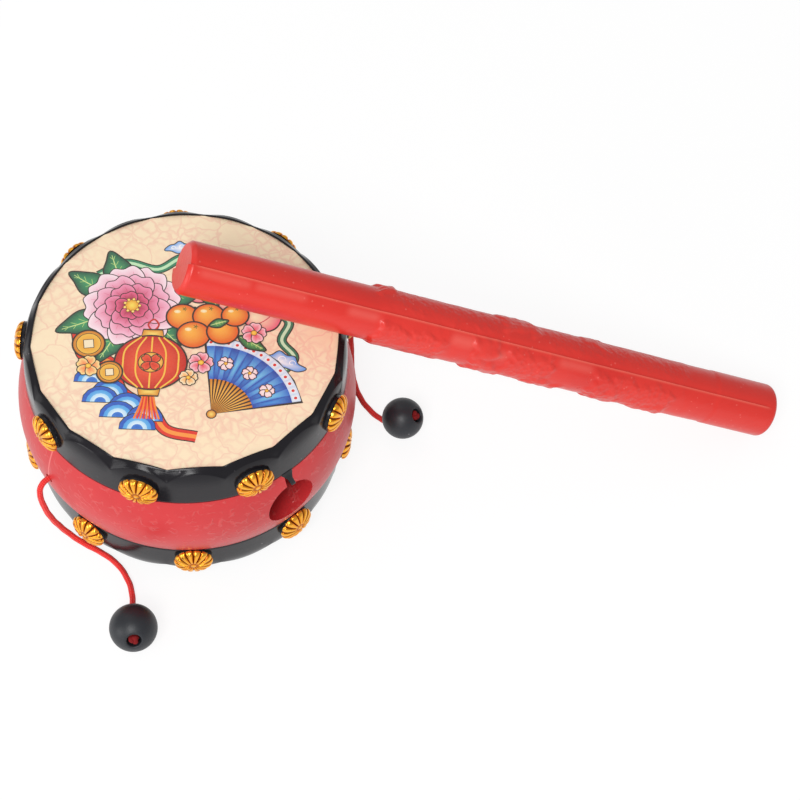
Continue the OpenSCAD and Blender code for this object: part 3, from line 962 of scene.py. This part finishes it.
def handleSkin():
    skin = placeGroup(grainGroup, Scale=460.0)
    flecks = placeGroup(fleckGroup, Scale=480.0, Size=0.14)
    scaly = readStored("coilScales")
    scales = addTexture("Voronoi", {"feature": "SMOOTH_F1"}, Scale=620.0, Smoothness=0.3)
    relief = times(scales["Distance"], scaly)
    height = addMath("MULTIPLY_ADD", skin["Height"], 0.35, relief)
    colour = addMix(skin["Drift"], tint(206, 36, 30), tint(232, 54, 42))
    # what lies paler over the body, and how much of it: painted highlights on the raised band, the sheen
    # patches and the parting line, then pale nicks
    for mask, most, paler in ((readStored("bandHighlight"), 0.18, tint(240, 92, 80)),
                              (readStored("paintedSheenPatch"), 0.3, tint(250, 132, 120)),
                              (readStored("partingHighlight"), 0.6, tint(252, 128, 108)),
                              (flecks["Mask"], 0.2, tint(250, 150, 138))):
        colour = addMix(spreadValue(mask, 0.0, most), colour, paler)
    matt = addMath("MULTIPLY_ADD", scaly, 0.2, skin["Drift"])
    return dict(Base_Color=colour, Roughness=spreadValue(matt, 0.2, 0.46), Specular_IOR_Level=0.5,
                Normal=addBump(height, 0.0007, 0.45))


handleRed = newMaterial("handleRed", handleSkin)


def addHandle():
    for name, low, node in (("handleUpperWrapped", False, "handle_upper_half"),
                            ("handleLowerWrapped", True, "handle_lower_half")):
        piece = wrapHalf(name, low)
        piece.data.materials.append(handleRed)
        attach(piece, "handle")
        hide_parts(node)


addHandle()
print("handle wrapped")


# heads: cream sheets with pale cell lines under the print

def headSkin():
    skin = placeGroup(grainGroup, Scale=300.0)
    place = addNode("TexCoord")["Object"]
    bent = warpPlace(place, 75.0, 2.0, (0.007, 0.007, 0.0))
    # a finer warp takes the straightness out of the lines
    curly = warpPlace(bent, 330.0, 1.0, (0.0034, 0.0034, 0.0))
    flat = {"feature": "DISTANCE_TO_EDGE", "voronoi_dimensions": "2D"}
    cells = addTexture("Voronoi", flat, Scale=290.0, Randomness=0.5, Vector=curly)
    soft = addRamp(cells["Distance"], [(0.0, 1), (0.1, 0.55), (0.26, 0)], smooth=True)
    patch = addTexture("Noise", Scale=40.0, Detail=1.0)
    some = addRamp(patch[0], [(0.36, 0.1), (0.5, 1)])
    small = times(times(soft, some), 0.6)
    # larger, thinner scroll lines where the small cells leave off
    broad = addTexture("Voronoi", flat, Scale=120.0, Vector=curly)
    thin = addRamp(broad["Distance"], [(0.0, 0.6), (0.02, 0.5), (0.05, 0)])
    mask = addMath("MAXIMUM", small, thin)
    body = addMix(skin["Drift"], tint(254, 229, 190), tint(255, 237, 207))
    return dict(Base_Color=addMix(mask, body, tint(245, 194, 172)), Specular_IOR_Level=0.4,
                Roughness=spreadValue(skin["Drift"], 0.36, 0.5),
                Normal=addBump(skin["Height"], 0.00005, 0.25))


dressNodes(newMaterial("headSheet", headSkin), "top_head", "bottom_head")
print("heads dressed")

# print: flat inks laid one over the other on the sheet, coloured by an attribute
printSet = {
    "right": (0.768, -0.641),
    "up": (0.641, 0.768),
    "face": 59.0, "lift": 0.012, "rise": 0.26, "line": 0.52,
}
# each ink's tint in the middle and at the edge of a shape, or the tints of two kinds of stroke
inkTints = {
    "line": (34, 26, 30, 34, 26, 30),
    "leaf": (92, 178, 96, 14, 92, 58),
    "veins": (214, 232, 150, 176, 214, 124),
    "peonyLeaf": (64, 160, 104, 10, 84, 66),
    "petalOuter": (230, 70, 136, 255, 232, 240),
    "petalSecond": (214, 40, 104, 252, 190, 214),
    "petalThird": (190, 20, 76, 246, 146, 182),
    "petalInner": (150, 8, 50, 236, 96, 140),
    "peonyHeart": (255, 226, 90, 236, 150, 20),
    "stamen": (255, 240, 150, 250, 190, 40),
    "tassel": (250, 130, 30, 228, 40, 26),
    "loopAndRibs": (200, 24, 20, 250, 196, 70),
    "lanternCap": (255, 222, 110, 222, 142, 26),
    "lantern": (250, 92, 52, 196, 16, 18),
    "badge": (255, 236, 150, 240, 168, 40),
    "badgePetal": (214, 34, 26, 240, 90, 50),
    "orange": (255, 190, 70, 232, 92, 16),
    "shine": (255, 246, 210, 255, 220, 140),
    "calyx": (60, 110, 40),
    "peach": (255, 238, 196, 240, 96, 128),
    "crease": (206, 50, 88),
    "fanStick": (250, 200, 90, 216, 128, 24),
    "fanDark": (64, 150, 230, 18, 66, 168),
    "fanLight": (120, 206, 246, 36, 104, 206),
    "fanBand": (255, 255, 255, 206, 228, 250),
    "fanDot": (240, 60, 50, 200, 20, 30),
    "fanPetal": (255, 250, 240, 255, 214, 226),
    "fanHeart": (255, 220, 90, 240, 160, 30),
    "fanRivet": (255, 220, 110, 210, 120, 20),
    "coin": (255, 214, 90, 214, 124, 20),
    "coinField": (232, 150, 36, 246, 190, 70),
    "coinHole": (250, 232, 196, 250, 232, 196),
    "cloud": (250, 250, 255, 90, 160, 236),
    "cloudPale": (250, 250, 255, 110, 170, 236),
    "curl": (255, 255, 255),
    "ribbonRed": (226, 34, 26, 252, 150, 60),
    "ribbonGreen": (34, 132, 96, 196, 236, 190),
    "ribbonMoss": (30, 120, 90, 206, 240, 200),
    "waveEdge": (20, 80, 180, 24, 92, 196),
    "waveSky": (120, 200, 244, 70, 160, 232),
    "waveFoam": (240, 250, 255, 180, 224, 250),
    "waveHeart": (30, 100, 200, 50, 130, 220),
    "blossomPink": (236, 60, 96, 255, 206, 216),
    "blossomRed": (250, 120, 60, 255, 226, 150),
    "blossomAmber": (250, 170, 60, 255, 240, 200),
    "blossomHeart": (255, 224, 90, 240, 160, 30),
}
inks = {"corners": [], "levels": [], "faces": [], "tints": [], "boxes": []}


def inkTint(name, part=0):
    return tint(*inkTints[name][3 * part:3 * part + 3])


def nextLevel(points):
    # one above the highest ink that the shape's box meets
    x0 = min(p[0] for p in points)
    x1 = max(p[0] for p in points)
    y0 = min(p[1] for p in points)
    y1 = max(p[1] for p in points)
    level = 0
    for a0, a1, b0, b1, other in inks["boxes"]:
        if other >= level and a0 < x1 and x0 < a1 and b0 < y1 and y0 < b1:
            level = other + 1
    inks["boxes"].append((x0, x1, y0, y1, level))
    return level


def inkCorner(x, y, colour, level):
    right = printSet["right"]
    up = printSet["up"]
    inks["corners"].append((right[0] * x + up[0] * y, right[1] * x + up[1] * y))
    inks["levels"].append(level)
    inks["tints"].append(colour)
    return len(inks["corners"]) - 1


def blendTint(name, share):
    return tuple(a + (b - a) * share for a, b in zip(inkTint(name), inkTint(name, 1)))


def softLoop(points, cuts):
    # a closed smooth outline through a few points
    n = len(points)
    loop = []
    for k in range(n):
        spots = [Vector(points[(k + j) % n]) for j in (-1, 0, 1, 2)]
        loop += [curveSpot(*spots, m / cuts) for m in range(cuts)]
    return loop


def fillLoop(loop, middle, name):
    # a filled shape whose tint runs from its middle to its edge
    level = nextLevel(loop)
    rings = []
    for share in (0.34, 0.68, 1.0):
        tone = blendTint(name, share ** 1.3)
        rings.append([inkCorner(*Vector(middle).lerp(p, share), tone, level) for p in loop])
    hub = inkCorner(*middle, inkTint(name), level)
    for k in range(len(loop)):
        j = (k + 1) % len(loop)
        inks["faces"].append((hub, rings[0][k], rings[0][j]))
        for a, b in zip(rings, rings[1:]):
            inks["faces"].append((a[k], b[k], b[j], a[j]))


def sideOf(line, before, after):
    along = line[after] - line[before]
    return Vector((along.y, -along.x)).normalized()


def layShape(points, name, middle=None, line=printSet["line"], cuts=5):
    # black outline below, fill above
    loop = softLoop(points, cuts) if cuts else [Vector(p) for p in points]
    if middle is None:
        middle = sum(loop, Vector((0, 0))) / len(loop)
    if line:
        outer = []
        for k, p in enumerate(loop):
            side = sideOf(loop, k - 1, (k + 1) % len(loop))
            outer.append(p + side * (line if side.dot(p - Vector(middle)) > 0 else -line))
        fillLoop(outer, middle, "line")
    fillLoop(loop, middle, name)


def layLine(points, wide, colour, taper=True, cuts=6):
    # a drawn stroke, thin at its ends
    line = softLine(points, cuts)
    level = nextLevel(line)
    pairs = []
    for k, p in enumerate(line):
        side = sideOf(line, max(k - 1, 0), min(k + 1, len(line) - 1))
        swell = 0.35 + 0.65 * math.sin(math.pi * (k + 0.5) / (len(line) + 0.5)) if taper else 1
        half = side * (wide / 2 * swell)
        pairs.append((inkCorner(*(p + half), colour, level), inkCorner(*(p - half), colour, level)))
    for a, b in zip(pairs, pairs[1:]):
        inks["faces"].append((a[0], b[0], b[1], a[1]))


def turned(points, place, degrees, size=1.0):
    c = size * math.cos(math.radians(degrees))
    s = size * math.sin(math.radians(degrees))
    return [(place[0] + x * c - y * s, place[1] + x * s + y * c) for x, y in points]


def spotAt(place, reach, degrees):
    return turned([(reach, 0)], place, degrees)[0]


def ovalPoints(place, wide, tall, count):
    turns = [2 * math.pi * k / count for k in range(count)]
    return [(place[0] + wide * math.cos(t), place[1] + tall * math.sin(t)) for t in turns]


def layDot(place, r, count, name, line=printSet["line"]):
    layShape(ovalPoints(place, r, r, count), name, line=line)


def layPetal(place, degrees, long, wide, name):
    shape = [(0, 0), (0.35, 0.42), (0.72, 0.5), (0.97, 0.3), (0.93, 0.02), (0.98, -0.28), (0.72, -0.5),
             (0.35, -0.42)]
    points = turned([(x * long, y * wide) for x, y in shape], place, degrees)
    layShape(points, name, middle=spotAt(place, 0.3 * long, degrees), line=0.3)
    for side in (-0.2 * wide, 0.16 * wide):
        stroke = [(0.35 * long, side * 0.5), (0.62 * long, side), (0.84 * long, side * 1.2)]
        layLine(turned(stroke, place, degrees), 0.22, blendTint(name, 0.35))


def layLeaf(place, degrees, long, wide, name="leaf"):
    shape = [(0, 0), (0.25, 0.36), (0.55, 0.48), (0.82, 0.24), (1.05, 0), (0.8, -0.28), (0.5, -0.48),
             (0.22, -0.34)]
    layShape(turned([(x * long, y * wide) for x, y in shape], place, degrees), name, line=0.42)
    rib = [(0.04 * long, 0), (0.5 * long, 0.03 * wide), (0.94 * long, 0)]
    layLine(turned(rib, place, degrees), 0.34, inkTint("veins"))
    for k in range(1, 5):
        x = 0.16 + 0.16 * k
        for side in (-1, 1):
            vein = [(x * long, 0), ((x + 0.1) * long, side * 0.3 * wide * (1.1 - x))]
            layLine(turned(vein, place, degrees), 0.2, inkTint("veins", 1), cuts=2)


def layPeony(place, size):
    for degrees, long in ((205, 19), (247, 17), (150, 17.5), (112, 16), (18, 17), (318, 15)):
        foot = spotAt(place, 6 * size, degrees)
        layLeaf(foot, degrees, long * size * 0.72, 7.4 * size, "peonyLeaf")
    rows = ((9, 24, 12.4, 9.2, "petalOuter"), (8, 32, 9.6, 7.4, "petalSecond"),
            (6, 5, 6.8, 6.0, "petalThird"), (5, 40, 4.2, 4.2, "petalInner"))
    for count, start, long, wide, name in rows:
        for k in range(count):
            layPetal(place, start + 360 * k / count, long * size, wide * size, name)
    layDot(place, 1.7 * size, 10, "peonyHeart", 0.2)
    for k in range(9):
        layDot(spotAt(place, 1.9 * size, 40 * k), 0.38 * size, 6, "stamen", 0.12)


def layLantern(place, wide, tall):
    x, y = place
    for k in range(9):
        off = (k - 4) * 0.62
        thread = [(x + off * out, y - tall - down) for out, down in ((0.6, 2.2), (0.9, 6), (1.5, 10.5))]
        layLine(thread, 0.62, inkTint("tassel", k % 2), taper=False, cuts=3)
    top = y + tall
    loop = [(x, top + 1.6), (x - 1.6, top + 4.2), (x, top + 6.2), (x + 1.6, top + 4.2), (x, top + 1.6)]
    layLine(loop, 0.55, inkTint("loopAndRibs"), taper=False)
    for side in (1, -1):
        near = y + side * (tall - 0.6)
        far = y + side * (tall + 2.2)
        layShape([(x - 3.4, near), (x + 3.4, near), (x + 2.8, far), (x - 2.8, far)], "lanternCap", cuts=0)
    layShape(ovalPoints(place, wide, tall, 18), "lantern")
    for share in (-0.78, -0.42, 0, 0.42, 0.78):
        rib = [(x + share * wide * out, y + tall * up)
               for out, up in ((0.4, 0.97), (0.92, 0.5), (1, 0), (0.92, -0.5), (0.4, -0.97))]
        layLine(rib, 0.5, inkTint("loopAndRibs", 1), taper=False)
    layShape(ovalPoints(place, wide * 0.34, tall * 0.36, 12), "badge", line=0.3)
    for k in range(4):
        layPetal(place, 45 + 90 * k, wide * 0.3, wide * 0.22, "badgePetal")


def layOrange(place, r):
    x, y = place
    layShape(ovalPoints(place, r, r * 0.94, 14), "orange", middle=(x - 0.3 * r, y + 0.3 * r))
    layShape(ovalPoints((x - 0.35 * r, y + 0.4 * r), 0.22 * r, 0.14 * r, 8), "shine", line=0)
    stalk = (x + 0.12 * r, y + 0.62 * r)
    for k in range(5):
        layLine([stalk, spotAt(stalk, 0.16 * r, 72 * k)], 0.24, inkTint("calyx"), cuts=2)


def layPeach(place, degrees, r):
    shape = [(-0.1, -1), (0.62, -0.84), (1.02, -0.2), (0.84, 0.5), (0.28, 0.98), (0, 1.34), (-0.28, 0.98),
             (-0.86, 0.5), (-1.02, -0.2), (-0.66, -0.84)]
    middle = turned([(-0.3, -0.4)], place, degrees, r)[0]
    layShape(turned(shape, place, degrees, r), "peach", middle=middle)
    crease = [(0.02, 1.25), (0.3, 0.5), (0.26, -0.3), (-0.06, -0.95)]
    layLine(turned(crease, place, degrees, r), 0.34, inkTint("crease"))


def layFoldingFan(place, reach, low, high, blades):
    # an opened folding fan: sticks, leaf and edge band
    def laySector(inner, outer, a, b, name):
        shares = [k / 5 for k in range(6)]
        points = [spotAt(place, outer, a + (b - a) * t) for t in shares]
        points += [spotAt(place, inner, b + (a - b) * t) for t in shares]
        layShape(points, name, cuts=0, line=0)

    step = (high - low) / blades
    laySector(0.5, reach + 0.5, low - 1.6, high + 1.6, "line")
    for k in range(blades):
        a = low + step * k
        laySector(1.2, reach * 0.46, a + step * 0.22, a + step * 0.78, "fanStick")
        laySector(reach * 0.46, reach * 0.9, a, a + step, "fanLight" if k % 2 else "fanDark")
        laySector(reach * 0.9, reach, a, a + step, "fanBand")
    for k in range(blades):
        layDot(spotAt(place, reach * 0.95, low + step * (k + 0.5)), 0.5, 7, "fanDot", 0)
    for k in range(3):
        spot = spotAt(place, reach * 0.68, low + (high - low) * (0.2 + 0.3 * k))
        for j in range(5):
            layPetal(spot, 72 * j + 20 * k, 2.3, 1.9, "fanPetal")
        layDot(spot, 0.5, 7, "fanHeart", 0.12)
    layDot(place, 1.3, 10, "fanRivet", 0.3)


def layCoin(place, r):
    layDot(place, r, 18, "coin")
    layDot(place, r * 0.78, 16, "coinField", 0.22)
    hole = turned([(-1, -1), (1, -1), (1, 1), (-1, 1)], place, 8, r * 0.3)
    layShape(hole, "coinHole", cuts=0, line=0.3)


def layCloud(place, size, degrees, name):
    shape = [(-3, -0.8), (-2.2, 0.6), (-1.2, 1.1), (-0.3, 2.1), (1, 1.6), (2.2, 1.7), (3, 0.6), (4.4, 0.1),
             (3.2, -0.7), (1.2, -0.5), (0, -1.1), (-1.6, -0.7)]
    middle = turned([(0.3, 0.3)], place, degrees, size)[0]
    layShape(turned(shape, place, degrees, size), name, middle=middle, line=0.34)
    for x, y, r in ((-1.3, 0.1, 0.6), (0.4, 0.7, 0.75), (2.1, 0.5, 0.6)):
        curl = [spotAt((x, y), r * (1 - t * 0.12), math.degrees(t)) for t in range(7)]
        layLine(turned(curl, place, degrees, size), 0.3, inkTint("curl"))


def layRibbon(points, wide, name):
    for across, ink, part in ((wide + 2 * 0.36, "line", 0), (wide, name, 0), (wide * 0.4, name, 1)):
        layLine(points, across, inkTint(ink, part), taper=False, cuts=8)


def layWaves(places, size):
    for x, y in places:
        for share, name, line in ((1.0, "waveEdge", 0.26), (0.78, "waveSky", 0), (0.56, "waveFoam", 0),
                                  (0.32, "waveHeart", 0)):
            r = size * share
            half = [spotAt((x, y), r, 22.5 * k) for k in range(9)]
            layShape(half, name, cuts=0, line=line, middle=(x, y + r * 0.4))


def layBlossom(place, size, name):
    for k in range(5):
        layPetal(place, 72 * k + 10, 3.2 * size, 2.9 * size, name)
    layDot(place, 0.75 * size, 8, "blossomHeart", 0.16)


def layPrint():
    # later inks lie over earlier ones
    layRibbon([(-33, 2), (-30, -8), (-22, -10), (-18, -20), (-9, -26), (-4, -33), (5, -35)], 3.4,
              "ribbonRed")
    layRibbon([(-28, 22), (-20, 27), (-10, 25), (-2, 30), (8, 27)], 2.6, "ribbonGreen")
    layRibbon([(29, -12), (33, -6), (29, 0), (31, 7), (25, 12)], 2.4, "ribbonMoss")
    layCloud((28, -8), 2.0, -14, "cloud")
    layFoldingFan((9, -27), 27, 12, 96, 14)
    layWaves([(-27, -17), (-21.5, -21.5), (-24, -24), (-16, -26), (-18.5, -29), (-10.5, -30),
              (-12.5, -33)], 5.4)
    for place, degrees, r in (((14, 16), -18, 6.4), ((23, 9), -40, 5.6), ((4, 19), 14, 5.6)):
        layPeach(place, degrees, r)
    layLeaf((9, 12), 130, 9, 4.6)
    layLeaf((19, 20), 60, 10, 5)
    layLeaf((-1, 14), 170, 8, 4.4)
    layPeony((-17, 11), 1.2)
    layLeaf((0, 3), 75, 8, 4.2)
    layLeaf((16, 1), -30, 9, 4.4)
    for x, y, r in ((-1.5, 7.5, 4.6), (6.5, 8, 4.6), (2.2, 1.0, 4.8), (11, 2.6, 4.6), (14.5, 8.6, 3.9)):
        layOrange((x, y), r)
    layLeaf((7, 4.6), 20, 5.5, 3)
    layBlossom((20.5, 2.4), 1.15, "blossomPink")
    layLantern((-10, -9.5), 10.6, 9.4)
    layCoin((-29, -3.5), 4.6)
    layCoin((-22, -13.5), 3.6)
    layBlossom((-28.5, -11.5), 1.1, "blossomRed")
    layBlossom((5, -9), 1.15, "blossomPink")
    layBlossom((1.5, -14.5), 0.85, "blossomAmber")
    layCloud((-4, 33), 1.4, -8, "cloudPale")


def inkSkin():
    skin = placeGroup(grainGroup, Scale=1500.0)
    worn = spreadValue(skin["Height"], 0.0, 0.1)
    return dict(Base_Color=addMix(worn, readStored("ink", "Color"), tint(250, 236, 206)),
                Roughness=spreadValue(skin["Drift"], 0.34, 0.48), Specular_IOR_Level=0.4)


def addPrints():
    layPrint()
    low = printSet["face"] + printSet["lift"]
    step = printSet["rise"] / max(inks["levels"])
    corners = [(x * mm, y * mm, (low + step * level) * mm)
               for (x, y), level in zip(inks["corners"], inks["levels"])]
    top = meshPiece("topPrintInks", corners, inks["faces"])
    layer = top.data.color_attributes.new(name="ink", type="FLOAT_COLOR", domain="POINT")
    layer.data.foreach_set("color", [v for colour in inks["tints"] for v in colour])
    # every ink faces up
    for face in top.data.polygons:
        if face.normal.z < 0:
            face.flip()
    top.data.update()
    top.data.materials.append(newMaterial("printInk", inkSkin))
    bottom = copyTo(top, "bottomPrintInks", moveBy(0, 0, rimSet["drum"]) @ turnBy(180, "X"))
    for piece in (top, bottom):
        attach(piece, "drum")
    print("print laid,", max(inks["levels"]) + 1, "levels,", len(inks["faces"]), "faces")


addPrints()

# floor and light
lightSet = {
    "worldStrength": 0.48, "floorGlow": 1.06, "floorShare": 0.8,
    "aim": (0.03, -0.03, 0.03),
    # place, size and power of each lamp
    "lamps": {
        "keyLamp": ((-0.55, -0.42, 0.88), 0.4, 6.0),
        "frontLamp": ((-0.72, -0.64, 0.38), 0.2, 0.9),
        "leftLamp": ((-0.95, 0.12, 0.24), 0.5, 2.2),
        "topLamp": ((0.1, 0.75, 0.9), 0.7, 0.9),
    },
}


def floorSkin():
    # white where it is seen, plain where it takes light
    ray = addNode("LightPath")
    glow = addNode("Emission", None, {"Color": (1, 1, 1, 1), "Strength": lightSet["floorGlow"]})
    seen = addMath("MAXIMUM", ray["Is Camera Ray"], ray["Is Glossy Ray"])
    share = times(addMath("MAXIMUM", seen, ray["Is Transmission Ray"]), lightSet["floorShare"])
    nodes = nodeWork["tree"].nodes
    mix = addNode("MixShader", None, {0: share, 1: nodes["Principled BSDF"].outputs[0], 2: glow[0]})
    plug(nodes["Material Output"].inputs["Surface"], mix[0])
    return dict(Base_Color=(0.9, 0.9, 0.9, 1), Roughness=0.9)


def addFloor():
    floor = newShape("floor", bpy.ops.mesh.primitive_plane_add, size=8, location=(0, 0, -0.0002))
    floor.data.materials.append(newMaterial("floorWhite", floorSkin))


def addSky():
    # full white where it is seen, weaker as light
    world = bpy.data.worlds.new("studio")
    scene.world = world
    world.use_nodes = True
    nodeWork["tree"] = world.node_tree
    ray = addNode("LightPath")
    seen = addMath("MAXIMUM", ray["Is Camera Ray"], ray["Is Transmission Ray"])
    sky = world.node_tree.nodes["Background"].inputs
    plug(sky["Color"], (1, 1, 1, 1))
    plug(sky["Strength"], spreadValue(seen, lightSet["worldStrength"], 1.0))


def addLamp(name, place, size, power):
    lamp = newShape(name, bpy.ops.object.light_add, type="AREA", location=place)
    lamp.data.size = size
    lamp.data.energy = power
    aim = Vector(lightSet["aim"]) - Vector(place)
    lamp.rotation_mode = "QUATERNION"
    lamp.rotation_quaternion = aim.to_track_quat("-Z", "Y")


addFloor()
addSky()
for lampName, lampRow in lightSet["lamps"].items():
    addLamp(lampName, *lampRow)
print("floor and light set")
